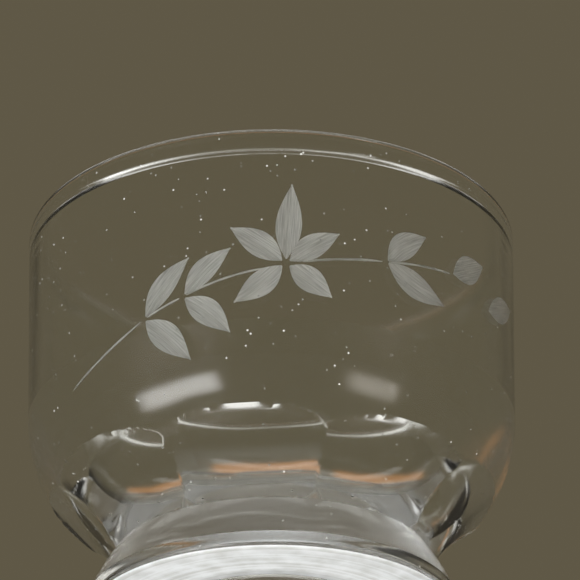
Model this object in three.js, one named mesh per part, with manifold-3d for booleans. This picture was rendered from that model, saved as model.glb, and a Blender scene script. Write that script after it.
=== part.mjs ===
// A squat pint glass: a solid foot, a ring of scooped flutes, a plain wall with a
// wheel-cut vine, and a beaded rim. Millimetres, +Z up, origin at the centre of the
// plane it stands on, -Y towards the flower. The glass is one casting; each clear mesh is
// one zone of it, and the zones meet on flat rings. Each ground cut of the vine is a thin
// matt skin that lies in its own groove.
import * as THREE from "three";
import { mergeVertices } from "three/addons/utils/BufferGeometryUtils.js";
import Module from "manifold-3d";

const wasm = await Module();
wasm.setup();

// ---- Overall sizes ----
const HEIGHT = 87.5;
const RIM_DIAMETER = 105;
const SHOULDER_DIAMETER = 103.4; // where the straight wall starts
const SHOULDER_Z = 45;
const WALL = 2.6; // at the shoulder and above
const ROUND_STEPS = 48; // facets round the axis

// ---- Foot ----
const FOOT_DIAMETER = 77;
const FOOT_HEIGHT = 13; // up to the waist
const FOOT_EDGE_ROUND = 1.6;
const FOOT_SIDE_HEIGHT = 3.4; // where the side turns in to the waist
const FLARE_DIAMETER = 72.8; // the flare's curve is pulled towards this ring
const FLARE_Z = 8.4;
const KICK_DIAMETER = 54; // hollow under the foot
const KICK_DEPTH = 2.0;
const KICK_FLAT_DIAMETER = 30;

// ---- Lower body ----
const WAIST_DIAMETER = 66;
const BELLY_REACH = 9.2; // how far the outside runs out over the waist, while it
const BELLY_RISE = 7.7; // rises this much
const BELLY_TOP_Z = 29; // below this the outside turns in towards the waist
const ZONE_Z = 32; // above the flutes, where the fluted body ends and the plain wall starts
const FLOOR_Z = 16.5;
const FLOOR_DIAMETER = 36;
const CAVITY_CORNER_DIAMETER = 60; // these two pull the inside's curve towards them
const CAVITY_BELLY_DIAMETER = 87;
const CAVITY_BELLY_Z = 26.5;
const CURVE_STEPS = 10;

// ---- Flutes ----
const FLUTE_COUNT = 8;
const FLUTE_OFFSET = THREE.MathUtils.degToRad(-7.7); // of the front flute, from -Y
const FLUTE_RISE = 7; // height of a flute's deepest point above the waist
const FLUTE_BITE = 3.9; // depth of the scoop there
const FLUTE_LEAN = THREE.MathUtils.degToRad(50);
const SCOOP = { across: 33, width: 150, length: 41 }; // the ellipsoid that cuts a flute
const SCOOP_STEPS = 28;

// ---- Rim bead ----
const BEAD_HEIGHT = 5.4;
const BEAD_THICKNESS = 3.3;
const BEAD_STEPS = 4;

// ---- Cut vine ----
const LEAF_DEPTH = 1.0;
const STEM_DEPTH = 0.45;
const STEM_WIDTH = 0.7;
const CUT_GAP = 0.12; // between a matt skin and its groove
const LEAF_SKIN = 0.25; // thickness of the skins
const STEM_SKIN = 0.14;
const LEAF_SKIN_SHARE = 0.6; // share of the groove's width that the skin covers
const STEM_SKIN_SHARE = 0.4;
const SKIN_COVER = 0.05; // least depth of a skin's edge below the surface
const CUT_LIFT = 0.6; // how far a cutter stands out of the wall
const LEAF_STEPS = 6;
const STEM_STEPS = 4;
const LEAF_TIP = 0.06; // width of a leaf's end, as a share of its full width
const LEAF_SKEW = 0.85; // below 1, the widest place is nearer the leaf's foot

// The vine fills the plain wall between the flutes and the bead, and grows or shrinks with
// it. Its sizes below are those on a plain wall of this height.
const VINE_BAND = 50.1;
// The flower and the points where leaves grow: distance round the wall from -Y, and rise
// above the foot of the plain wall.
const FLOWER = { round: 3, rise: 24.4 };
const JOINTS = {
  first: { round: -27.5, rise: 15.2 },
  second: { round: -18.6, rise: 18.5 },
  third: { round: 24.5, rise: 27.4 },
  bud: { round: 41.9, rise: 29.6 },
  tail: { round: -48.4, rise: 5.9 },
  next: { round: 55.1, rise: 26.3 },
};
// Each leaf grows from its point at a turn, in degrees up from the way round to the right.
const PETAL_START = 1.0; // from the flower's centre
const PETALS = [
  { name: "petal_top", turn: 85.7, length: 18, width: 5.6, bend: 0 },
  { name: "petal_upper_right", turn: 33.4, length: 13.5, width: 5.4, bend: 0.03 },
  { name: "petal_lower_right", turn: -36.8, length: 11.9, width: 5.8, bend: 0.02 },
  { name: "petal_lower_left", turn: 218.6, length: 13.7, width: 5.6, bend: 0.03 },
  { name: "petal_upper_left", turn: 144, length: 14.1, width: 5.8, bend: -0.03 },
];
const LEAF_START = 0.7;
const LEAVES = [
  { name: "leaf_1_upper", at: "first", turn: 49, length: 15.7, width: 5.4, bend: 0.05 },
  { name: "leaf_1_lower", at: "first", turn: -45.6, length: 14.8, width: 6, bend: 0.02 },
  { name: "leaf_2_upper", at: "second", turn: 43.2, length: 14.1, width: 5.2, bend: 0.05 },
  { name: "leaf_2_lower", at: "second", turn: -42.2, length: 13.6, width: 5.8, bend: 0.04 },
  { name: "leaf_3_upper", at: "third", turn: 38.9, length: 13, width: 5.8, bend: 0.07 },
  { name: "leaf_3_lower", at: "third", turn: -21.7, length: 16.2, width: 6.2, bend: -0.05 },
  { name: "bud", at: "bud", turn: 28, length: 12.8, width: 6.4, bend: 0 },
  { name: "leaf_4_lower", at: "next", turn: 23.5, length: 16.8, width: 6, bend: 0 },
];
// A stem runs between two points; bow is how far its middle stands off the straight line,
// and leave and arrive are how far its ends stop from those points.
const STEMS = [
  { name: "stem_tail", from: JOINTS.tail, to: JOINTS.first, bow: -0.4, leave: 0, arrive: 0.8 },
  { name: "stem_1", from: JOINTS.first, to: JOINTS.second, bow: 0.1, leave: 0.8, arrive: 0.8 },
  { name: "stem_2", from: JOINTS.second, to: FLOWER, bow: 0.5, leave: 0.8, arrive: 4.2 },
  { name: "stem_3", from: FLOWER, to: JOINTS.third, bow: 0.2, leave: 3.6, arrive: 0.8 },
  { name: "stem_4", from: JOINTS.third, to: JOINTS.bud, bow: 0.2, leave: 0.8, arrive: 0.4 },
];

// ---- Shape of the wall ----
const rimRadius = RIM_DIAMETER / 2;
const shoulderRadius = SHOULDER_DIAMETER / 2;
const footRadius = FOOT_DIAMETER / 2;
const waistRadius = WAIST_DIAMETER / 2;
const beadZ = HEIGHT - BEAD_HEIGHT;
const fluteZ = FOOT_HEIGHT + FLUTE_RISE;
const vineScale = (beadZ - ZONE_Z) / VINE_BAND;

// The outside of the lower body, from the waist up to the shoulder.
const belly = new THREE.CubicBezierCurve(
  new THREE.Vector2(waistRadius, FOOT_HEIGHT),
  new THREE.Vector2(waistRadius + BELLY_REACH, FOOT_HEIGHT + BELLY_RISE),
  new THREE.Vector2(shoulderRadius, BELLY_TOP_Z),
  new THREE.Vector2(shoulderRadius, SHOULDER_Z),
);
// The inside of the lower body, from the floor's edge up to the shoulder.
const bowl = new THREE.CubicBezierCurve(
  new THREE.Vector2(FLOOR_DIAMETER / 2, FLOOR_Z),
  new THREE.Vector2(CAVITY_CORNER_DIAMETER / 2, FLOOR_Z),
  new THREE.Vector2(CAVITY_BELLY_DIAMETER / 2, CAVITY_BELLY_Z),
  new THREE.Vector2(shoulderRadius - WALL, SHOULDER_Z),
);

/** Outer radius of the body at a height above the waist, before flutes and grooves. */
function wallRadius(z) {
  if (z >= SHOULDER_Z) {
    const share = (z - SHOULDER_Z) / (HEIGHT - SHOULDER_Z);
    return THREE.MathUtils.lerp(shoulderRadius, rimRadius, share);
  }
  let low = 0;
  let high = 1;
  for (let halving = 0; halving < 30; halving++) {
    const middle = (low + high) / 2;
    if (belly.getPoint(middle).y < z) low = middle;
    else high = middle;
  }
  return belly.getPoint(low).x;
}

// ---- Solids ----
/** A manifold-3d solid from a closed three.js geometry. */
function solidOf(geometry) {
  const bare = geometry.clone();
  bare.deleteAttribute("normal");
  bare.deleteAttribute("uv");
  const merged = mergeVertices(bare, 1e-4);
  return new wasm.Manifold(new wasm.Mesh({
    numProp: 3,
    vertProperties: new Float32Array(merged.attributes.position.array),
    triVerts: new Uint32Array(merged.index.array),
  }));
}

/** A three.js geometry from a manifold-3d solid. */
function geometryOf(solid) {
  const mesh = solid.getMesh();
  const geometry = new THREE.BufferGeometry();
  geometry.setAttribute("position", new THREE.BufferAttribute(mesh.vertProperties, 3));
  geometry.setIndex(new THREE.BufferAttribute(mesh.triVerts, 1));
  geometry.computeVertexNormals();
  return geometry;
}

/** A closed solid turned about +Z from a profile of (radius, height) points. */
function turned(points) {
  const geometry = new THREE.LatheGeometry(points, ROUND_STEPS);
  geometry.rotateX(Math.PI / 2);
  return solidOf(geometry);
}

/** The solid foot: a shallow hollow below, a rounded edge, and a flare in to the waist. */
function foot() {
  const outline = new THREE.Path();
  outline.moveTo(0, KICK_DEPTH);
  outline.lineTo(KICK_FLAT_DIAMETER / 2, KICK_DEPTH);
  outline.lineTo(KICK_DIAMETER / 2, 0);
  outline.lineTo(footRadius - FOOT_EDGE_ROUND, 0);
  outline.quadraticCurveTo(footRadius, 0, footRadius, FOOT_EDGE_ROUND);
  outline.lineTo(footRadius, FOOT_SIDE_HEIGHT);
  outline.quadraticCurveTo(FLARE_DIAMETER / 2, FLARE_Z, waistRadius, FOOT_HEIGHT);
  outline.lineTo(0, FOOT_HEIGHT);
  return turned(outline.getPoints(5));
}

/** The body from the waist up to the bead, hollow, before flutes and grooves. */
function plainBody() {
  const beadRadius = wallRadius(beadZ);
  return turned([
    new THREE.Vector2(0, FOOT_HEIGHT),
    ...belly.getPoints(CURVE_STEPS),
    new THREE.Vector2(beadRadius, beadZ),
    new THREE.Vector2(beadRadius - WALL, beadZ),
    ...bowl.getPoints(CURVE_STEPS).reverse(),
    new THREE.Vector2(0, FLOOR_Z),
  ]);
}

/** The part of the body between two heights. */
function zone(body, fromZ, toZ) {
  const reach = rimRadius + BEAD_THICKNESS;
  return body.intersect(turned([
    new THREE.Vector2(0, fromZ),
    new THREE.Vector2(reach, fromZ),
    new THREE.Vector2(reach, toZ),
    new THREE.Vector2(0, toZ),
  ]));
}

/** One flute's scoop: an ellipsoid that leans with the wall, at a turn about the axis. */
function fluteScoop(turn) {
  const out = SCOOP.across / 2 - FLUTE_BITE;
  const radius = wallRadius(fluteZ);
  const place = new THREE.Object3D();
  place.rotation.order = "ZYX";
  place.rotation.set(0, FLUTE_LEAN, turn);
  const reach = radius + out * Math.cos(FLUTE_LEAN);
  place.position.set(
    Math.cos(turn) * reach, Math.sin(turn) * reach, fluteZ - out * Math.sin(FLUTE_LEAN),
  );
  place.scale.set(SCOOP.across, SCOOP.width, SCOOP.length);
  place.updateMatrix();
  const scoop = new THREE.SphereGeometry(0.5, SCOOP_STEPS, SCOOP_STEPS);
  return solidOf(scoop.applyMatrix4(place.matrix));
}

/** The body with its ring of flutes. */
function flutedBody() {
  let body = plainBody();
  for (let k = 0; k < FLUTE_COUNT; k++) {
    const turn = -Math.PI / 2 + FLUTE_OFFSET + (2 * Math.PI * k) / FLUTE_COUNT;
    body = body.subtract(fluteScoop(turn));
  }
  return body;
}

/** The rim: a bead a little thicker than the wall, with a fire-polished top. */
function rimBead() {
  const outer = wallRadius(beadZ);
  const middle = rimRadius - BEAD_THICKNESS / 2;
  const half = BEAD_THICKNESS / 2;
  const outline = new THREE.Path();
  outline.moveTo(outer, beadZ);
  outline.quadraticCurveTo(middle + half, beadZ + half, middle + half, HEIGHT - half);
  outline.quadraticCurveTo(middle + half, HEIGHT, middle, HEIGHT);
  outline.quadraticCurveTo(middle - half, HEIGHT, middle - half, HEIGHT - half);
  outline.quadraticCurveTo(middle - half, beadZ + half, outer - WALL, beadZ);
  outline.lineTo(outer, beadZ);
  return turned(outline.getPoints(BEAD_STEPS));
}

// ---- Cuts of the vine ----
/**
 * A point in the wall: distance round the wall and rise above the plain wall's foot, both
 * at the vine's own scale, and depth below the surface.
 */
function wallPoint(round, rise, depth) {
  const z = ZONE_Z + rise * vineScale;
  const radius = wallRadius(z);
  const turn = -Math.PI / 2 + (round * vineScale) / rimRadius;
  return [Math.cos(turn) * (radius - depth), Math.sin(turn) * (radius - depth), z];
}

/** Stations along a leaf: centre, half width and share of the full depth. */
function leafStations(leaf, root, start) {
  const turn = THREE.MathUtils.degToRad(leaf.turn);
  const along = new THREE.Vector2(Math.cos(turn), Math.sin(turn));
  const across = new THREE.Vector2(-along.y, along.x);
  const length = leaf.length - start;
  const stations = [];
  for (let i = 0; i <= LEAF_STEPS; i++) {
    const t = i / LEAF_STEPS;
    const reach = start + length * t;
    const bow = leaf.bend * length * 4 * t * (1 - t);
    const fullness = Math.max(Math.sin(Math.PI * Math.pow(t, LEAF_SKEW)), LEAF_TIP);
    stations.push({
      round: root.round + along.x * reach + across.x * bow,
      rise: root.rise + along.y * reach + across.y * bow,
      across,
      half: (leaf.width / 2) * fullness,
      share: Math.sqrt(fullness),
    });
  }
  return stations;
}

/** Stations along a stem that bows between two points and stops short of them. */
function stemStations(stem) {
  const from = new THREE.Vector2(stem.from.round, stem.from.rise);
  const to = new THREE.Vector2(stem.to.round, stem.to.rise);
  const along = to.clone().sub(from).normalize();
  const across = new THREE.Vector2(-along.y, along.x);
  from.addScaledVector(along, stem.leave);
  to.addScaledVector(along, -stem.arrive);
  const stations = [];
  for (let i = 0; i <= STEM_STEPS; i++) {
    const t = i / STEM_STEPS;
    const centre = from.clone().lerp(to, t).addScaledVector(across, stem.bow * 4 * t * (1 - t));
    const end = Math.min(1, 0.4 + 6 * t * (1 - t));
    stations.push({
      round: centre.x, rise: centre.y, across, half: (STEM_WIDTH / 2) * end, share: end,
    });
  }
  return stations;
}

/**
 * A closed strip along the stations, with a V-shaped floor. outerDepth and floorDepth give
 * the depth of its two faces below the surface, at a station's middle or at its edges.
 */
function strip(stations, widthShare, outerDepth, floorDepth) {
  const positions = [];
  const indices = [];
  for (const s of stations) {
    for (const side of [-1, 0, 1]) {
      const round = s.round + s.across.x * s.half * widthShare * side;
      const rise = s.rise + s.across.y * s.half * widthShare * side;
      const isMiddle = side === 0;
      positions.push(...wallPoint(round, rise, outerDepth(s, isMiddle)));
      positions.push(...wallPoint(round, rise, floorDepth(s, isMiddle)));
    }
  }
  const perStation = 6; // outer and floor points, at the two edges and the middle
  const quad = (a, b, c, d) => indices.push(a, c, b, a, d, c);
  for (let i = 0; i + 1 < stations.length; i++) {
    const here = i * perStation;
    const next = here + perStation;
    quad(here, here + 2, next + 2, next);
    quad(here + 2, here + 4, next + 4, next + 2);
    quad(here + 3, here + 1, next + 1, next + 3);
    quad(here + 5, here + 3, next + 3, next + 5);
    quad(here + 1, here, next, next + 1);
    quad(here + 4, here + 5, next + 5, next + 4);
  }
  const last = (stations.length - 1) * perStation;
  quad(0, 1, 3, 2);
  quad(2, 3, 5, 4);
  quad(last + 1, last, last + 2, last + 3);
  quad(last + 3, last + 2, last + 4, last + 5);
  const geometry = new THREE.BufferGeometry();
  geometry.setAttribute("position", new THREE.Float32BufferAttribute(positions, 3));
  geometry.setIndex(indices);
  return solidOf(geometry);
}

/** The tool that takes out a groove: V-shaped, open through the wall's surface. */
function grooveCutter(cut) {
  return strip(
    cut.stations, 1,
    () => -CUT_LIFT,
    (s, isMiddle) => (isMiddle ? cut.depth * s.share : 0),
  );
}

/** The matt skin that lies in a groove with a small gap under it. */
function grooveSkin(cut) {
  const floorAt = (s, isMiddle) => {
    const open = isMiddle ? 1 : 1 - cut.skinShare;
    return Math.max(cut.depth * s.share * open - CUT_GAP, SKIN_COVER);
  };
  const outerAt = (s, isMiddle) => floorAt(s, isMiddle) - cut.skin * s.share;
  return strip(cut.stations, cut.skinShare, outerAt, floorAt);
}

/** Every cut of the vine, as its name, stations and groove sizes. */
function vineCuts() {
  const leafCut = (leaf, root, start) => ({
    name: leaf.name, stations: leafStations(leaf, root, start),
    depth: LEAF_DEPTH, skinShare: LEAF_SKIN_SHARE, skin: LEAF_SKIN,
  });
  const stemCut = (stem) => ({
    name: stem.name, stations: stemStations(stem),
    depth: STEM_DEPTH, skinShare: STEM_SKIN_SHARE, skin: STEM_SKIN,
  });
  return [
    ...PETALS.map((petal) => leafCut(petal, FLOWER, PETAL_START)),
    ...LEAVES.map((leaf) => leafCut(leaf, JOINTS[leaf.at], LEAF_START)),
    ...STEMS.map(stemCut),
  ];
}

// ---- The glass ----
const clearGlass = new THREE.MeshStandardMaterial({
  color: 0xe9eeea, roughness: 0.03, metalness: 0, transparent: true, opacity: 0.35,
});
const groundGlass = new THREE.MeshStandardMaterial({
  color: 0xb4b6af, roughness: 0.75, metalness: 0,
});
const glass = new THREE.Group();

/** Adds a named mesh to the glass. */
function add(name, solid, material) {
  const mesh = new THREE.Mesh(geometryOf(solid), material.clone());
  mesh.name = name;
  glass.add(mesh);
}

const body = flutedBody();
let wall = zone(body, ZONE_Z, beadZ);
for (const cut of vineCuts()) {
  wall = wall.subtract(grooveCutter(cut));
  add(cut.name, grooveSkin(cut), groundGlass);
}
add("foot", foot(), clearGlass);
add("fluted_body", zone(body, FOOT_HEIGHT, ZONE_Z), clearGlass);
add("bowl_wall", wall, clearGlass);
add("rim_bead", rimBead(), clearGlass);

export default glass;
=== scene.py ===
"""A squat pint glass with scooped flutes and a wheel-cut vine, dressed on its CAD frame.

The clear body is one casting, so one closed mesh stands for the four CAD zones. Each ground
cut of the vine is a thin matt skin of its own that lies in a V-shaped groove of the body.
Lengths are in millimetres until a mesh is made, and angles are in radians.
"""

import logging
import math
from dataclasses import dataclass, field
from enum import Enum
from typing import Callable

import bpy
import numpy as np
from mathutils import Euler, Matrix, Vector


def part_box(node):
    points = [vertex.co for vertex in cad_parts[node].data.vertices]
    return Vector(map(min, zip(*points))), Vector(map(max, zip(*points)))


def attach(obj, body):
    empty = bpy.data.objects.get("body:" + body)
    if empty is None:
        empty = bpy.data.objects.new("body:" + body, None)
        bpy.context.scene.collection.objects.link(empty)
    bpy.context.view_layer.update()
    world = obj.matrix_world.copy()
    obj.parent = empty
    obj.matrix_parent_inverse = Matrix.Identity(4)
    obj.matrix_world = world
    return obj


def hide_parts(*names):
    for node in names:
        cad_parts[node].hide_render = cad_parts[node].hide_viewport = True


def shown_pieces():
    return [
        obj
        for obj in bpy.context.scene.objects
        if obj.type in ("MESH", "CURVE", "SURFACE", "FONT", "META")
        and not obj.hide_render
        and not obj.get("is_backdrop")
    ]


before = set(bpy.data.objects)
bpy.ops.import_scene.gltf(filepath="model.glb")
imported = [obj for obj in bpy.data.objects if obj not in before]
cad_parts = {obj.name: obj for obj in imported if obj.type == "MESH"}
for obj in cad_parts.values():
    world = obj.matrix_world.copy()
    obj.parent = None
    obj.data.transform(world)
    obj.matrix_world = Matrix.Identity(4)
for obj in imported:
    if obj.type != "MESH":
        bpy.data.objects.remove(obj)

LOG = logging.getLogger("pint_glass")
MM = 0.001
ROOT_BODY = "root"
GLASS_IOR = 1.5
NO_SURFACE = 1000.0
Row = tuple[float, float]
Colour = tuple[float, float, float, float]


def low_mm(node: str, axis: int) -> float:
    """Lowest coordinate of a CAD node along an axis, in mm."""
    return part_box(node)[0][axis] / MM


def high_mm(node: str, axis: int) -> float:
    """Highest coordinate of a CAD node along an axis, in mm."""
    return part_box(node)[1][axis] / MM


def bezier(ends: list[Row], share: np.ndarray) -> np.ndarray:
    """Points on a quadratic or cubic Bezier curve.

    Args:
        ends: the curve's three or four control points, as (radius, height).
        share: where on the curve, from 0 to 1.

    Returns:
        One (radius, height) row for each share.
    """
    order = len(ends) - 1
    total = np.zeros((len(share), 2))
    for k, point in enumerate(ends):
        weight = math.comb(order, k) * (1 - share) ** (order - k) * share**k
        total += weight[:, None] * np.array(point)
    return total


def soft_min(a: np.ndarray, b: np.ndarray, blend: float) -> np.ndarray:
    """The lower of two surfaces, with a rounded edge between them.

    Args:
        a: one surface.
        b: the other surface, at the same points.
        blend: how far apart the two may be and still be rounded together.

    Returns:
        The blended surface.
    """
    share = np.clip(0.5 + 0.5 * (b - a) / blend, 0, 1)
    return b * (1 - share) + a * share - blend * share * (1 - share)


def mesh_object(name: str, points: np.ndarray, faces: list[tuple[int, ...]]) -> bpy.types.Object:
    """A smooth-shaded mesh object.

    Args:
        name: the piece's name.
        points: one (x, y, z) row for each vertex, in mm.
        faces: vertex numbers of each face, anticlockwise from outside.

    Returns:
        The object, linked to the scene.
    """
    mesh = bpy.data.meshes.new(name)
    mesh.from_pydata((points * MM).tolist(), [], faces)
    mesh.validate()
    mesh.shade_smooth()
    obj = bpy.data.objects.new(name, mesh)
    bpy.context.scene.collection.objects.link(obj)
    return obj


# ---- Finishes ----
class NodeKit:
    """A material's node tree, with short calls to add and join nodes."""

    def __init__(self, name: str) -> None:
        """Makes a material that holds one Principled shader.

        Args:
            name: the material's name.
        """
        self.material = bpy.data.materials.new(name)
        self.material.use_nodes = True
        self.tree = self.material.node_tree
        self.shader = self.tree.nodes["Principled BSDF"]

    def add(self, kind: str, **values: object) -> bpy.types.Node:
        """Adds a node and sets it up.

        Args:
            kind: the node's type.
            values: its properties, or its inputs where it has no such property.

        Returns:
            The node.
        """
        node = self.tree.nodes.new(kind)
        for key, value in values.items():
            if hasattr(node, key):
                setattr(node, key, value)
            else:
                node.inputs[key.replace("_", " ")].default_value = value
        return node

    def join(self, source: bpy.types.NodeSocket, target: bpy.types.NodeSocket) -> None:
        """Links one socket to another."""
        self.tree.links.new(source, target)

    def bump(self, height: bpy.types.NodeSocket, strength: float, depth: float,
             under: bpy.types.NodeSocket | None = None) -> bpy.types.NodeSocket:
        """Turns a height into a bumped normal.

        Args:
            height: the height, from 0 to 1.
            strength: how much of the bump shows.
            depth: how deep the full height is, in metres.
            under: the normal that the bump lies on, if it isn't the surface's own.

        Returns:
            The bumped normal.
        """
        node = self.add("ShaderNodeBump", Strength=strength, Distance=depth)
        self.join(height, node.inputs["Height"])
        if under is not None:
            self.join(under, node.inputs["Normal"])
        return node.outputs["Normal"]

    def fit(self, value: bpy.types.NodeSocket, source: Row, target: Row) -> bpy.types.NodeSocket:
        """Maps one span of numbers onto another, and holds it at the ends.

        Args:
            value: the number to map.
            source: the span that it comes from.
            target: what the two ends of that span become.

        Returns:
            The mapped number.
        """
        node = self.add("ShaderNodeMapRange")
        for name, number in zip(("From Min", "From Max", "To Min", "To Max"), source + target):
            node.inputs[name].default_value = number
        self.join(value, node.inputs["Value"])
        return node.outputs["Result"]

    def shade(self, value: bpy.types.NodeSocket, span: Row,
              colours: tuple[Colour, Colour]) -> bpy.types.NodeSocket:
        """Turns a number into a colour between two.

        Args:
            value: the number.
            span: where the first colour ends and the second begins.
            colours: the two colours.

        Returns:
            The colour.
        """
        node = self.add("ShaderNodeValToRGB")
        for element, position, colour in zip(node.color_ramp.elements, span, colours):
            element.position = position
            element.color = colour
        self.join(value, node.inputs["Fac"])
        return node.outputs["Color"]


@dataclass(frozen=True)
class ClearGlass:
    """Old pressed glass: faintly grey-green, softly wavy, with fine rubs and specks."""

    tint: Colour = (0.955, 0.965, 0.945, 1)
    polish: float = 0.1
    rub: float = 0.3
    wave_size: float = 60.0
    wave_stretch: tuple[float, float, float] = (1.0, 1.0, 0.3)
    wave_depth: float = 0.0006
    speck_size: float = 420.0
    speck_edge: Row = (0.04, 0.12)
    speck_depth: float = 0.00004
    speck_through: float = 0.35
    patch_size: float = 170.0
    patch_edge: Row = (0.50, 0.58)
    bump_share: float = 0.5

    def material(self) -> bpy.types.Material:
        """The clear finish.

        Returns:
            A Principled material that transmits, with two waves and scattered specks.
        """
        kit = NodeKit("clear_glass")
        shader = kit.shader
        shader.inputs["Base Color"].default_value = self.tint
        shader.inputs["IOR"].default_value = GLASS_IOR
        place = kit.add("ShaderNodeTexCoord").outputs["Object"]
        stretch = kit.add("ShaderNodeMapping", Scale=self.wave_stretch)
        kit.join(place, stretch.inputs["Vector"])
        wave = kit.add("ShaderNodeTexNoise", Scale=self.wave_size, Detail=1.5, Roughness=0.4)
        kit.join(stretch.outputs["Vector"], wave.inputs["Vector"])
        normal = kit.bump(wave.outputs["Fac"], self.bump_share, self.wave_depth)
        cell = kit.add("ShaderNodeTexVoronoi", Scale=self.speck_size)
        kit.join(place, cell.inputs["Vector"])
        patch = kit.add("ShaderNodeTexNoise", Scale=self.patch_size, Detail=3.0)
        kit.join(place, patch.inputs["Vector"])
        both = kit.add("ShaderNodeMath", operation="MULTIPLY")
        kit.join(kit.fit(cell.outputs["Distance"], self.speck_edge, (1, 0)), both.inputs[0])
        kit.join(kit.fit(patch.outputs["Fac"], self.patch_edge, (0, 1)), both.inputs[1])
        speck = both.outputs["Value"]
        kit.join(kit.fit(speck, (0, 1), (self.polish, self.rub)), shader.inputs["Roughness"])
        through = kit.fit(speck, (0, 1), (1, self.speck_through))
        kit.join(through, shader.inputs["Transmission Weight"])
        raised = kit.bump(speck, self.bump_share, self.speck_depth, normal)
        kit.join(raised, shader.inputs["Normal"])
        return kit.material


@dataclass(frozen=True)
class GroundGlass:
    """Glass ground matt by a wheel: pale, grainy, with fine lines along the cut."""

    light: Colour = (0.78, 0.78, 0.75, 1)
    dark: Colour = (0.40, 0.40, 0.37, 1)
    shade_span: Row = (0.34, 0.62)
    roughness: float = 0.62
    through: float = 0.3
    lines_along: float = 0.16
    lines_across: float = 5.5
    line_share: float = 0.5
    line_depth: float = 0.00012
    grain: float = 2600.0
    grain_share: float = 0.35
    grain_depth: float = 0.00004

    def material(self) -> bpy.types.Material:
        """The matt finish.

        Returns:
            A Principled material whose lines run along each cut, by its "cut_place" values.
        """
        kit = NodeKit("ground_glass")
        shader = kit.shader
        shader.inputs["Roughness"].default_value = self.roughness
        shader.inputs["Transmission Weight"].default_value = self.through
        shader.inputs["IOR"].default_value = GLASS_IOR
        place = kit.add("ShaderNodeAttribute", attribute_name="cut_place").outputs["Vector"]
        spread = (self.lines_along, self.lines_across, 1.0)
        stretch = kit.add("ShaderNodeMapping", Scale=spread)
        kit.join(place, stretch.inputs["Vector"])
        line = kit.add("ShaderNodeTexNoise", Scale=1.0, Detail=3.0, Roughness=0.6)
        kit.join(stretch.outputs["Vector"], line.inputs["Vector"])
        where = kit.add("ShaderNodeTexCoord").outputs["Object"]
        grain = kit.add("ShaderNodeTexNoise", Scale=self.grain, Detail=2.0)
        kit.join(where, grain.inputs["Vector"])
        colour = kit.shade(line.outputs["Fac"], self.shade_span, (self.dark, self.light))
        kit.join(colour, shader.inputs["Base Color"])
        scored = kit.bump(line.outputs["Fac"], self.line_share, self.line_depth)
        rough = kit.bump(grain.outputs["Fac"], self.grain_share, self.grain_depth, scored)
        kit.join(rough, shader.inputs["Normal"])
        return kit.material


@dataclass(frozen=True)
class WornFoot:
    """The underside that the glass stands on: scuffed pale, in rings."""

    light: Colour = (0.86, 0.88, 0.90, 1)
    dark: Colour = (0.62, 0.63, 0.62, 1)
    shade_span: Row = (0.36, 0.58)
    roughness: float = 0.5
    through: float = 0.35
    rings: float = 900.0
    ring_share: float = 0.4
    ring_depth: float = 0.0001
    blotch: float = 240.0

    def material(self) -> bpy.types.Material:
        """The scuffed finish.

        Returns:
            A Principled material with rings about the axis.
        """
        kit = NodeKit("worn_foot")
        shader = kit.shader
        shader.inputs["Roughness"].default_value = self.roughness
        shader.inputs["Transmission Weight"].default_value = self.through
        shader.inputs["IOR"].default_value = GLASS_IOR
        place = kit.add("ShaderNodeTexCoord").outputs["Object"]
        flat = kit.add("ShaderNodeVectorMath", operation="MULTIPLY")
        flat.inputs[1].default_value = (1, 1, 0)
        kit.join(place, flat.inputs[0])
        reach = kit.add("ShaderNodeVectorMath", operation="LENGTH")
        kit.join(flat.outputs["Vector"], reach.inputs[0])
        ring = kit.add("ShaderNodeTexNoise", noise_dimensions="1D", Scale=self.rings, Detail=3.0)
        kit.join(reach.outputs["Value"], ring.inputs["W"])
        blotch = kit.add("ShaderNodeTexNoise", Scale=self.blotch, Detail=4.0)
        kit.join(place, blotch.inputs["Vector"])
        half = kit.add("ShaderNodeMath", operation="MULTIPLY")
        half.inputs[1].default_value = 0.5
        kit.join(blotch.outputs["Fac"], half.inputs[0])
        mixed = kit.add("ShaderNodeMath", operation="MULTIPLY_ADD")
        mixed.inputs[1].default_value = 0.5
        kit.join(ring.outputs["Fac"], mixed.inputs[0])
        kit.join(half.outputs["Value"], mixed.inputs[2])
        colour = kit.shade(mixed.outputs["Value"], self.shade_span, (self.dark, self.light))
        kit.join(colour, shader.inputs["Base Color"])
        ridged = kit.bump(ring.outputs["Fac"], self.ring_share, self.ring_depth)
        kit.join(ridged, shader.inputs["Normal"])
        return kit.material


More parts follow.
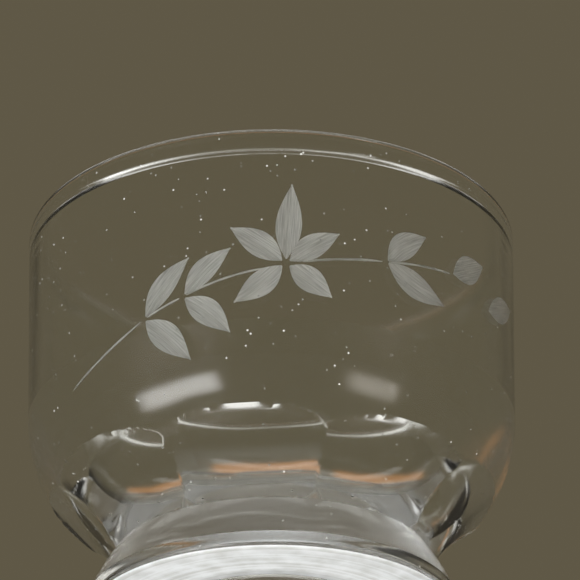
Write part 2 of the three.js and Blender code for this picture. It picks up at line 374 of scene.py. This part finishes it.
# ---- Shape of the glass ----
@dataclass
class GlassProfile:
    """The turned shape of the glass, before its flutes and grooves. Sizes in mm."""

    height: float = field(default_factory=lambda: high_mm("rim_bead", 2))
    rim_radius: float = field(default_factory=lambda: high_mm("rim_bead", 0))
    bead_z: float = field(default_factory=lambda: low_mm("rim_bead", 2))
    zone_z: float = field(default_factory=lambda: low_mm("bowl_wall", 2))
    waist_z: float = field(default_factory=lambda: high_mm("foot", 2))
    foot_radius: float = field(default_factory=lambda: high_mm("foot", 0))
    shoulder_radius: float = 51.7
    shoulder_z: float = 45.0
    wall: float = 2.6
    waist_radius: float = 33.0
    belly_reach: float = 9.2
    belly_rise: float = 7.7
    belly_top_z: float = 29.0
    floor_z: float = 16.5
    floor_radius: float = 18.0
    cavity_corner_radius: float = 30.0
    cavity_belly_radius: float = 43.5
    cavity_belly_z: float = 26.5
    bead_thickness: float = 3.3
    bead_neck: float = 0.1
    foot_edge_round: float = 1.6
    foot_side_z: float = 3.4
    flare_radius: float = 36.4
    flare_z: float = 8.4
    kick_radius: float = 27.0
    kick_flat_radius: float = 15.0
    kick_depth: float = 2.0
    centre_radius: float = 1.5
    ring_step: float = 0.45
    mark_depth: float = 0.025
    mark_waves: Row = (4.1, 1.3)
    side_band: Row = (2.1, 2.9)
    waist_clear: float = 0.3
    fluted_step: float = 0.38
    plain_step: float = 0.9
    neck_from: float = -1.8
    neck_to: float = 1.2
    neck_width: float = 0.6
    neck_clear: float = 0.2

    def belly(self, share: np.ndarray) -> np.ndarray:
        """The outside of the lower body, from the waist up to the shoulder.

        Args:
            share: where on the curve, from 0 at the waist to 1 at the shoulder.

        Returns:
            One (radius, height) row for each share.
        """
        return bezier([
            (self.waist_radius, self.waist_z),
            (self.waist_radius + self.belly_reach, self.waist_z + self.belly_rise),
            (self.shoulder_radius, self.belly_top_z),
            (self.shoulder_radius, self.shoulder_z),
        ], share)

    def wall_radius(self, z: np.ndarray | float) -> np.ndarray:
        """Outer radius of the body above the waist.

        Args:
            z: one height or many.

        Returns:
            The radius at each height.
        """
        curve = self.belly(np.linspace(0, 1, 2001))
        low = np.interp(z, curve[:, 1], curve[:, 0])
        share = (np.asarray(z) - self.shoulder_z) / (self.height - self.shoulder_z)
        high = self.shoulder_radius + share * (self.rim_radius - self.shoulder_radius)
        return np.where(np.asarray(z) > self.shoulder_z, high, low)

    def underside(self) -> list[Row]:
        """The hollow below and the ring that it stands on, with fine turning marks.

        Returns:
            Rows from the middle out.
        """
        rows = []
        edge = self.foot_radius - self.foot_edge_round
        fine, coarse = self.mark_waves
        for radius in np.arange(self.centre_radius, edge, self.ring_step):
            fall = (radius - self.kick_flat_radius) / (self.kick_radius - self.kick_flat_radius)
            share = float(np.clip(fall, 0, 1))
            dome = self.kick_depth * (0.5 + 0.5 * math.cos(math.pi * share))
            mark = self.mark_depth * (1 + math.sin(radius * fine) * math.cos(radius * coarse))
            rows.append((float(radius), dome + mark))
        return rows

    def foot_side(self) -> list[Row]:
        """The foot's rounded edge, its side and its turn in to the waist.

        Returns:
            Rows from the ring that it stands on up to the waist.
        """
        edge = bezier([
            (self.foot_radius - self.foot_edge_round, 0),
            (self.foot_radius, 0),
            (self.foot_radius, self.foot_edge_round),
        ], np.linspace(0, 1, 9))
        turn_in = bezier([
            (self.foot_radius, self.foot_side_z),
            (self.flare_radius, self.flare_z),
            (self.waist_radius, self.waist_z),
        ], np.linspace(0, 1, 26))
        side = [(self.foot_radius, z) for z in np.linspace(*self.side_band, 3)]
        return [tuple(p) for p in edge] + side + [tuple(p) for p in turn_in]

    def outside(self) -> list[Row]:
        """The body's outside, pinched in a little below the bead.

        Returns:
            Rows from just above the waist up to the bead.
        """
        fine = np.arange(self.waist_z + self.waist_clear, self.zone_z, self.fluted_step)
        neck_z = self.bead_z + self.neck_from
        plain = np.arange(self.zone_z, neck_z - self.neck_clear, self.plain_step)
        neck = np.linspace(neck_z, self.bead_z + self.neck_to, 11)
        rows = [(float(self.wall_radius(z)), float(z)) for z in np.concatenate([fine, plain])]
        for z in neck:
            pinch = self.bead_neck * math.exp(-((z - self.bead_z) / self.neck_width) ** 2)
            rows.append((float(self.wall_radius(z)) - pinch, float(z)))
        return rows

    def rim(self) -> list[Row]:
        """The fire-polished rim.

        Returns:
            Rows from outside over the top to inside.
        """
        half = self.bead_thickness / 2
        middle = self.rim_radius - half
        share = np.linspace(0, 1, 12)
        top = self.height
        outer = bezier([(middle + half, top - half), (middle + half, top), (middle, top)], share)
        inner = bezier([(middle, top), (middle - half, top), (middle - half, top - half)], share)
        foot = (float(self.wall_radius(self.bead_z)) - self.wall, self.bead_z)
        fade = bezier([
            (middle - half, top - half), (middle - half, self.bead_z + half), foot,
        ], np.linspace(0, 1, 8))
        return [tuple(p) for p in [*outer, *inner[1:], *fade[1:]]]

    def inside(self) -> list[Row]:
        """The inside of the wall, the bowl and the floor.

        Returns:
            Rows from the bead down to near the middle of the floor.
        """
        bowl = bezier([
            (self.floor_radius, self.floor_z),
            (self.cavity_corner_radius, self.floor_z),
            (self.cavity_belly_radius, self.cavity_belly_z),
            (self.shoulder_radius - self.wall, self.shoulder_z),
        ], np.linspace(1, 0, 56))
        top = float(self.wall_radius(self.bead_z)) - self.wall
        start = self.shoulder_radius - self.wall
        rise = self.bead_z - self.shoulder_z
        straight = [
            (start + share * (top - start), self.shoulder_z + share * rise)
            for share in np.linspace(0.96, 0.04, 22)
        ]
        radii = np.linspace(self.floor_radius - 2, self.centre_radius, 8)
        floor = [(radius, self.floor_z) for radius in radii]
        return straight + [tuple(p) for p in bowl] + floor


@dataclass
class FluteRing:
    """The ring of scooped flutes round the lower body. Sizes in mm."""

    count: int = 8
    offset: float = math.radians(-7.7)
    z: float = 20.0
    bite: float = 3.9
    lean: float = math.radians(50)
    across: float = 33.0
    width: float = 150.0
    length: float = 41.0
    ridge_round: float = 0.55
    lip_round: float = 0.35

    def scoop_radius(self, profile: GlassProfile, turn: np.ndarray, z: np.ndarray) -> np.ndarray:
        """Radius of one flute's hollow surface, or NO_SURFACE where it has none.

        Args:
            profile: the turned shape that the flute is cut into.
            turn: angle from the flute's middle, for each point.
            z: height of each point.

        Returns:
            The radius at each point.
        """
        out = self.across / 2 - self.bite
        lean_cos, lean_sin = math.cos(self.lean), math.sin(self.lean)
        reach = float(profile.wall_radius(self.z)) + out * lean_cos
        rise = z - (self.z - out * lean_sin)
        halves = (self.across / 2, self.width / 2, self.length / 2)
        slopes = (np.cos(turn) * lean_cos, np.sin(turn), np.cos(turn) * lean_sin)
        starts = (
            reach * lean_cos + rise * lean_sin, np.zeros_like(rise),
            reach * lean_sin - rise * lean_cos,
        )
        a = sum((s / h) ** 2 for s, h in zip(slopes, halves))
        b = -sum(s * q / h**2 for s, q, h in zip(slopes, starts, halves))
        c = sum((q / h) ** 2 for q, h in zip(starts, halves)) - 1
        inside = b * b - a * c
        near = (-b - np.sqrt(np.maximum(inside, 0))) / a
        return np.where(inside > 0, near, NO_SURFACE)

    def cut(self, profile: GlassProfile, turn: np.ndarray, z: np.ndarray,
            radius: np.ndarray) -> np.ndarray:
        """Takes the flutes out of the outside.

        Args:
            profile: the turned shape that the flutes are cut into.
            turn: angle about the axis of each point, from -Y.
            z: height of each point.
            radius: radius of the turned shape at each point.

        Returns:
            The radius at each point, with rounded ridges and lips.
        """
        pitch = 2 * math.pi / self.count
        nearest = np.round((turn - self.offset) / pitch)
        scoops = None
        for step in (-1, 0, 1):
            local = turn - self.offset - (nearest + step) * pitch
            one = self.scoop_radius(profile, local, z)
            scoops = one if scoops is None else soft_min(scoops, one, self.ridge_round)
        return soft_min(radius, scoops, self.lip_round)


# ---- The cut vine ----
class CutKind(Enum):
    """The kinds of wheel cut on the wall."""

    LEAF = "leaf"
    STEM = "stem"


@dataclass(frozen=True)
class CutForm:
    """A kind of cut's depth in mm, how far its skin reaches across it, and in how many strips."""

    depth: float
    reach: float
    strips: int


CUT_FORMS = {CutKind.LEAF: CutForm(1.0, 0.97, 20), CutKind.STEM: CutForm(0.45, 0.66, 6)}


@dataclass
class Station:
    """One place along a cut: where it is on the wall, how wide and how deep it is there."""

    around: float
    z: float
    across: tuple[float, float]
    half: float
    share: float
    along: float


@dataclass
class VineCut:
    """One V-shaped wheel cut in the wall, and the matt skin that lies in it."""

    name: str
    kind: CutKind
    stations: list[Station]
    seed: float
    lift: float = 0.6
    face_share: float = 0.86
    ridge_share: float = 0.05
    back_share: float = 0.96
    ridge_waves: Row = (23.0, 9.0)
    sharp_edge: float = math.radians(25)

    def floor_depth(self, s: Station, side: float) -> float:
        """Depth of the groove's V.

        Args:
            s: the place along the cut.
            side: the place across it, from -1 to 1.

        Returns:
            The depth below the wall's surface, in mm.
        """
        return CUT_FORMS[self.kind].depth * s.share * (1 - abs(side))

    def face_depth(self, s: Station, side: float) -> float:
        """Depth of the skin's outer face, which has fine ridges along the cut.

        Args:
            s: the place along the cut.
            side: the place across it, from -1 to 1.

        Returns:
            The depth below the wall's surface, in mm.
        """
        wide, narrow = self.ridge_waves
        ridge = 0.5 + 0.5 * math.sin(side * wide + self.seed * 7 + math.sin(side * narrow) * 2)
        return self.floor_depth(s, side) * (self.face_share - self.ridge_share * ridge)

    def grid(self, profile: GlassProfile, sides: list[float],
             depth_at: Callable[[Station, float], float]) -> np.ndarray:
        """Points in the wall over the cut.

        Args:
            profile: the turned shape of the glass.
            sides: places across the cut, from -1 at one edge to 1 at the other.
            depth_at: depth below the wall's surface for a station and a place across it.

        Returns:
            An array of stations by sides by (x, y, z), in mm.
        """
        points = np.zeros((len(self.stations), len(sides), 3))
        for i, s in enumerate(self.stations):
            for j, side in enumerate(sides):
                around = s.around + s.across[0] * s.half * side
                z = s.z + s.across[1] * s.half * side
                radius = float(profile.wall_radius(z)) - depth_at(s, side)
                turn = -math.pi / 2 + around / profile.rim_radius
                points[i, j] = (radius * math.cos(turn), radius * math.sin(turn), z)
        return points

    def shell(self, outer: np.ndarray, inner: np.ndarray) -> tuple[np.ndarray, list]:
        """Joins an outer and an inner sheet of points into one closed surface.

        Args:
            outer: the sheet that faces out of the wall.
            inner: the sheet that faces the axis, with as many points.

        Returns:
            The points and the faces.
        """
        rows, columns = outer.shape[:2]
        points = np.concatenate([outer.reshape(-1, 3), inner.reshape(-1, 3)])
        shift = rows * columns
        faces = []
        for i in range(rows - 1):
            for j in range(columns - 1):
                a = i * columns + j
                quad = (a, a + columns, a + columns + 1, a + 1)
                faces.append(tuple(reversed(quad)))
                faces.append(tuple(v + shift for v in quad))
        ring = list(range(columns))
        ring += [i * columns + columns - 1 for i in range(1, rows)]
        ring += [(rows - 1) * columns + j for j in range(columns - 2, -1, -1)]
        ring += [i * columns for i in range(rows - 2, 0, -1)]
        for a, b in zip(ring, ring[1:] + ring[:1]):
            faces.append((a, b, b + shift, a + shift))
        return points, faces

    def cutter(self, profile: GlassProfile) -> bpy.types.Object:
        """The tool that takes the groove out of the body.

        Args:
            profile: the turned shape of the glass.

        Returns:
            A closed solid that stands out of the wall by the lift.
        """
        sides = [-1.0, -0.5, 0.0, 0.5, 1.0]
        outer = self.grid(profile, sides, lambda s, side: -self.lift)
        inner = self.grid(profile, sides, self.floor_depth)
        return mesh_object(f"cutter_{self.name}", *self.shell(outer, inner))

    def skin(self, profile: GlassProfile) -> bpy.types.Object:
        """The matt skin that lies in the groove.

        Args:
            profile: the turned shape of the glass.

        Returns:
            The skin, with its place along and across the cut kept for the finish.
        """
        form = CUT_FORMS[self.kind]
        sides = [float(x) for x in np.linspace(-form.reach, form.reach, form.strips + 1)]
        outer = self.grid(profile, sides, self.face_depth)
        inner = self.grid(
            profile, sides, lambda s, side: self.back_share * self.floor_depth(s, side))
        obj = mesh_object(f"ground_{self.name}", *self.shell(outer, inner))
        place = obj.data.attributes.new("cut_place", "FLOAT_VECTOR", "POINT")
        rows = [
            (s.along, side * s.half, self.seed) for s in self.stations for side in sides
        ]
        place.data.foreach_set("vector", np.array(rows + rows, np.float32).ravel())
        obj.data.set_sharp_from_angle(angle=self.sharp_edge)
        return obj


@dataclass
class Vine:
    """The spray that runs round the front of the wall. Sizes in mm, turns in degrees."""

    profile: GlassProfile
    leaf_skew: float = 0.85
    leaf_tip: float = 0.06
    stem_width: float = 0.7
    stem_end: float = 0.4
    stem_fill: float = 6.0
    stem_wobble: float = 0.14
    stem_waves: Row = (17.0, 9.3)
    leaf_steps: int = 26
    stem_steps: int = 22
    petal_start: float = 1.0
    leaf_start: float = 0.7
    points: dict[str, Row] = field(default_factory=lambda: {
        "flower": (3, 24.4), "first": (-27.5, 15.2), "second": (-18.6, 18.5),
        "third": (24.5, 27.4), "bud": (41.9, 29.6), "tail": (-48.4, 5.9), "next": (55.1, 26.3),
    })
    petals: dict[str, tuple[float, ...]] = field(default_factory=lambda: {
        "petal_top": (85.7, 18, 5.6, 0), "petal_upper_right": (33.4, 13.5, 5.4, 0.03),
        "petal_lower_right": (-36.8, 11.9, 5.8, 0.02),
        "petal_lower_left": (218.6, 13.7, 5.6, 0.03),
        "petal_upper_left": (144, 14.1, 5.8, -0.03),
    })
    leaves: dict[str, tuple] = field(default_factory=lambda: {
        "leaf_1_upper": ("first", 49, 15.7, 5.4, 0.05),
        "leaf_1_lower": ("first", -45.6, 14.8, 6, 0.02),
        "leaf_2_upper": ("second", 43.2, 14.1, 5.2, 0.05),
        "leaf_2_lower": ("second", -42.2, 13.6, 5.8, 0.04),
        "leaf_3_upper": ("third", 38.9, 13, 5.8, 0.07),
        "leaf_3_lower": ("third", -21.7, 16.2, 6.2, -0.05),
        "bud": ("bud", 28, 12.8, 6.4, 0), "leaf_4_lower": ("next", 23.5, 16.8, 6, 0),
    })
    stems: dict[str, tuple] = field(default_factory=lambda: {
        "stem_tail": ("tail", "first", -0.4, 0, 0.8), "stem_1": ("first", "second", 0.1, 0.8, 0.8),
        "stem_2": ("second", "flower", 0.5, 0.8, 4.2), "stem_3": ("flower", "third", 0.2, 3.6, 0.8),
        "stem_4": ("third", "bud", 0.2, 0.8, 0.4),
    })

    def leaf(self, name: str, root: Row, start: float, sizes: tuple[float, ...],
             seed: float) -> VineCut:
        """One leaf, petal or bud.

        Args:
            name: its CAD node's name.
            root: the point it grows from, as distance round and rise.
            start: how far from that point it begins.
            sizes: its turn, length, width and bend.
            seed: a number that makes its lines its own.

        Returns:
            The cut.
        """
        turn, reach_to, width, bend = sizes
        along = (math.cos(math.radians(turn)), math.sin(math.radians(turn)))
        across = (-along[1], along[0])
        length = reach_to - start
        stations = []
        for t in np.linspace(0, 1, self.leaf_steps + 1):
            reach = start + length * t
            bow = bend * length * 4 * t * (1 - t)
            fullness = max(math.sin(math.pi * t**self.leaf_skew), self.leaf_tip)
            stations.append(Station(
                around=root[0] + along[0] * reach + across[0] * bow,
                z=self.profile.zone_z + root[1] + along[1] * reach + across[1] * bow,
                across=across, half=width / 2 * fullness, share=math.sqrt(fullness), along=reach,
            ))
        return VineCut(name, CutKind.LEAF, stations, seed)

    def stem(self, name: str, sizes: tuple, seed: float) -> VineCut:
        """One length of stem.

        Args:
            name: its CAD node's name.
            sizes: the points it runs between, its bow, and how far its ends stop short.
            seed: a number that makes its lines its own.

        Returns:
            The cut.
        """
        start_name, end_name, bow, leave, arrive = sizes
        start = np.array(self.points[start_name], float)
        end = np.array(self.points[end_name], float)
        along = (end - start) / np.linalg.norm(end - start)
        across = np.array((-along[1], along[0]))
        start = start + along * leave
        end = end - along * arrive
        fast, slow = self.stem_waves
        stations = []
        for t in np.linspace(0, 1, self.stem_steps + 1):
            place = start + (end - start) * t + across * bow * 4 * t * (1 - t)
            fullness = min(1.0, self.stem_end + self.stem_fill * t * (1 - t))
            wobble = math.sin(fast * t + seed * 5) * math.sin(slow * t + seed)
            fullness *= 1 + self.stem_wobble * wobble
            stations.append(Station(
                around=place[0], z=self.profile.zone_z + place[1], across=tuple(across),
                half=self.stem_width / 2 * fullness, share=fullness,
                along=float(np.linalg.norm(end - start)) * t,
            ))
        return VineCut(name, CutKind.STEM, stations, seed)

    def cuts(self) -> list[VineCut]:
        """Every cut of the vine.

        Returns:
            The petals first, then the leaves and the bud, then the stem.
        """
        made = []
        for name, sizes in self.petals.items():
            root = self.points["flower"]
            made.append(self.leaf(name, root, self.petal_start, sizes, float(len(made))))
        for name, (at, *sizes) in self.leaves.items():
            root = self.points[at]
            made.append(self.leaf(name, root, self.leaf_start, tuple(sizes), float(len(made))))
        for name, sizes in self.stems.items():
            made.append(self.stem(name, sizes, float(len(made))))
        return made

    def dress(self, finish: GroundGlass) -> None:
        """Lays a matt skin in every groove, in place of its CAD node.

        Args:
            finish: the finish of the skins.
        """
        material = finish.material()
        for cut in self.cuts():
            piece = cut.skin(self.profile)
            piece.data.materials.append(material)
            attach(piece, ROOT_BODY)
            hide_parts(cut.name)
            LOG.info("laid %s: %d faces", piece.name, len(piece.data.polygons))


@dataclass
class GlassBody:
    """The clear casting: foot, fluted body, wall and rim as one closed mesh."""

    profile: GlassProfile
    flutes: FluteRing
    columns: int = 480
    sharp_edge: float = math.radians(14)
    worn_from: float = 22.0
    worn_top: float = 2.2
    worn_slope: float = -0.7

    def turned_mesh(self) -> bpy.types.Object:
        """The casting before its grooves.

        Returns:
            A closed mesh, its columns evenly round the axis.
        """
        profile = self.profile
        below = profile.underside() + profile.foot_side()
        body = profile.outside()
        above = profile.rim() + profile.inside()
        rows = below + body + above
        turn = 2 * math.pi * np.arange(self.columns) / self.columns
        radius = np.repeat(np.array([r for r, _ in rows])[:, None], self.columns, axis=1)
        height = np.repeat(np.array([z for _, z in rows])[:, None], self.columns, axis=1)
        fluted = slice(len(below), len(below) + len(body))
        turns = np.repeat(turn[None, :], len(body), axis=0)
        radius[fluted] = self.flutes.cut(profile, turns, height[fluted], radius[fluted])
        angle = turn[None, :] - math.pi / 2
        grid = np.stack([radius * np.cos(angle), radius * np.sin(angle), height], axis=-1)
        points = grid.reshape(-1, 3)
        last = (len(rows) - 1) * self.columns
        centres = np.array([[0, 0, rows[0][1]], [0, 0, rows[-1][1]]])
        below_centre, floor_centre = len(points), len(points) + 1
        faces = []
        for j in range(self.columns):
            k = (j + 1) % self.columns
            faces.append((below_centre, k, j))
            faces.append((floor_centre, last + j, last + k))
            for i in range(len(rows) - 1):
                a, b = i * self.columns, (i + 1) * self.columns
                faces.append((a + j, a + k, b + k, b + j))
        return mesh_object("glass_body", np.concatenate([points, centres]), faces)

    def cut_grooves(self, obj: bpy.types.Object, vine: Vine) -> None:
        """Takes the vine's grooves out of the casting.

        Args:
            obj: the casting.
            vine: the spray whose cuts are taken out.
        """
        tools = [cut.cutter(self.profile) for cut in vine.cuts()]
        for tool in tools:
            step = obj.modifiers.new(tool.name, "BOOLEAN")
            step.operation = "DIFFERENCE"
            step.solver = "MANIFOLD"
            step.object = tool
        graph = bpy.context.evaluated_depsgraph_get()
        grooved = bpy.data.meshes.new_from_object(obj.evaluated_get(graph))
        obj.modifiers.clear()
        obj.data = grooved
        for tool in tools:
            bpy.data.objects.remove(tool)

    def dress(self, vine: Vine, clear: ClearGlass, worn: WornFoot) -> None:
        """Builds the casting, finishes it and puts it in place of its four CAD zones.

        Args:
            vine: the spray whose grooves it has.
            clear: the finish of the casting.
            worn: the finish of the part of its underside that is scuffed.
        """
        obj = self.turned_mesh()
        self.cut_grooves(obj, vine)
        mesh = obj.data
        mesh.materials.clear()
        mesh.materials.append(clear.material())
        mesh.materials.append(worn.material())
        for face in mesh.polygons:
            reach = math.hypot(face.center.x, face.center.y) / MM
            under = face.center.z / MM < self.worn_top and face.normal.z < self.worn_slope
            worn_here = under and self.worn_from < reach < self.profile.foot_radius
            face.material_index = 1 if worn_here else 0
        mesh.shade_smooth()
        mesh.set_sharp_from_angle(angle=self.sharp_edge)
        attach(obj, ROOT_BODY)
        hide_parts("foot", "fluted_body", "bowl_wall", "rim_bead")
        LOG.info("cast %s: %d faces", obj.name, len(mesh.polygons))


# ---- Studio ----
@dataclass(frozen=True)
class SoftLight:
    """One large soft area light. Places in mm, aimed at a point."""

    name: str
    place: tuple[float, float, float]
    aim: tuple[float, float, float]
    width: float
    height: float
    power: float
    tint: tuple[float, float, float] = (1, 1, 1)
    glass_only: bool = False

    def build(self, glass: bpy.types.Collection) -> None:
        """Hangs the light.

        Args:
            glass: the pieces that a light kept off the floor still falls on.
        """
        data = bpy.data.lights.new(self.name, "AREA")
        data.shape = "RECTANGLE"
        data.size = self.width * MM
        data.size_y = self.height * MM
        data.energy = self.power
        data.color = self.tint
        obj = bpy.data.objects.new(self.name, data)
        bpy.context.scene.collection.objects.link(obj)
        obj.location = [c * MM for c in self.place]
        towards = [a - p for a, p in zip(self.aim, self.place)]
        obj.rotation_euler = Vector(towards).to_track_quat("-Z", "Y").to_euler()
        if self.glass_only:
            obj.light_linking.receiver_collection = glass


@dataclass
class Studio:
    """Floor, surroundings, lights and camera. Sizes in mm."""

    floor_size: float = 3000.0
    floor_z: float = -0.2
    floor_tint: Colour = (0.60, 0.57, 0.52, 1)
    floor_roughness: float = 0.9
    surround: Colour = (0.115, 0.098, 0.062, 1)
    camera_back: float = 773.3
    camera_drop: float = 311.0
    pitch: float = math.radians(26.6)
    yaw: float = math.radians(0.3)
    roll: float = math.radians(-0.3)
    lens: float = 248.3
    sensor: float = 36.0
    sight: float = 20000.0

    def floor(self) -> None:
        """A plain pale floor that shows only from above, as the camera sits below it."""
        half, z = self.floor_size / 2, self.floor_z
        corners = np.array([(-half, -half, z), (half, -half, z), (half, half, z), (-half, half, z)])
        obj = mesh_object("floor", corners, [(0, 1, 2, 3)])
        kit = NodeKit("pale_floor")
        kit.shader.inputs["Base Color"].default_value = self.floor_tint
        kit.shader.inputs["Roughness"].default_value = self.floor_roughness
        clear = kit.add("ShaderNodeBsdfTransparent")
        side = kit.add("ShaderNodeNewGeometry")
        ray = kit.add("ShaderNodeLightPath")
        either = kit.add("ShaderNodeMath", operation="MAXIMUM")
        kit.join(side.outputs["Backfacing"], either.inputs[0])
        kit.join(ray.outputs["Is Shadow Ray"], either.inputs[1])
        mix = kit.add("ShaderNodeMixShader")
        kit.join(either.outputs["Value"], mix.inputs["Fac"])
        kit.join(kit.shader.outputs["BSDF"], mix.inputs[1])
        kit.join(clear.outputs["BSDF"], mix.inputs[2])
        kit.join(mix.outputs["Shader"], kit.tree.nodes["Material Output"].inputs["Surface"])
        obj.data.materials.append(kit.material)
        obj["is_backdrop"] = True

    def surroundings(self) -> None:
        """A dim, warm room."""
        world = bpy.data.worlds.new("room")
        world.use_nodes = True
        world.node_tree.nodes["Background"].inputs["Color"].default_value = self.surround
        bpy.context.scene.world = world

    def lights(self) -> None:
        """Soft lights above, in front and low down."""
        glass = bpy.data.collections.new("glass_pieces")
        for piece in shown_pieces():
            glass.objects.link(piece)
        middle = (0.0, 0.0, 50.0)
        for light in (
            SoftLight("room_fill", (0, 300, 1400), middle, 1600, 1600, 2.5),
            SoftLight("rim_strip", (-60, -160, 700), middle, 1300, 130, 1.5, glass_only=True),
            SoftLight("rim_back", (0, 1100, 1600), middle, 2200, 700, 4.4, glass_only=True),
            SoftLight("low_left", (-900, -900, -420), middle, 900, 300, 21),
            SoftLight("low_right", (900, -800, -300), middle, 500, 260, 8, (1, 0.95, 0.88)),
            SoftLight("low", (0, -420, -620), (0, 0, 0), 500, 300, 3.2, (0.92, 0.96, 1)),
            SoftLight("warm_card", (120, 900, 60), (0, 0, 15), 500, 90, 0.05, (1, 0.4, 0.12),
                      glass_only=True),
        ):
            light.build(glass)

    def camera(self) -> None:
        """A long lens that looks up at the glass from in front."""
        data = bpy.data.cameras.new("camera")
        data.sensor_width = self.sensor
        data.lens = self.lens
        data.clip_end = self.sight * MM
        obj = bpy.data.objects.new("camera", data)
        bpy.context.scene.collection.objects.link(obj)
        obj.location = (0, -self.camera_back * MM, -self.camera_drop * MM)
        upright = Euler((math.pi / 2 + self.pitch, 0, -self.yaw)).to_matrix()
        rolled = upright @ Euler((0, 0, self.roll)).to_matrix()
        obj.rotation_euler = rolled.to_euler()
        bpy.context.scene.camera = obj

    def build(self) -> None:
        """Sets up the whole studio, once the glass stands in it."""
        self.floor()
        self.surroundings()
        self.lights()
        self.camera()
        bpy.context.scene.view_settings.view_transform = "Standard"
        LOG.info("studio is set")


def main() -> None:
    """Builds the studio and the glass in order."""
    logging.basicConfig(level=logging.INFO, format="%(name)s: %(message)s")
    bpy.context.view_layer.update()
    profile = GlassProfile()
    vine = Vine(profile)
    GlassBody(profile, FluteRing()).dress(vine, ClearGlass(), WornFoot())
    vine.dress(GroundGlass())
    Studio().build()


if __name__ == "__main__":
    main()
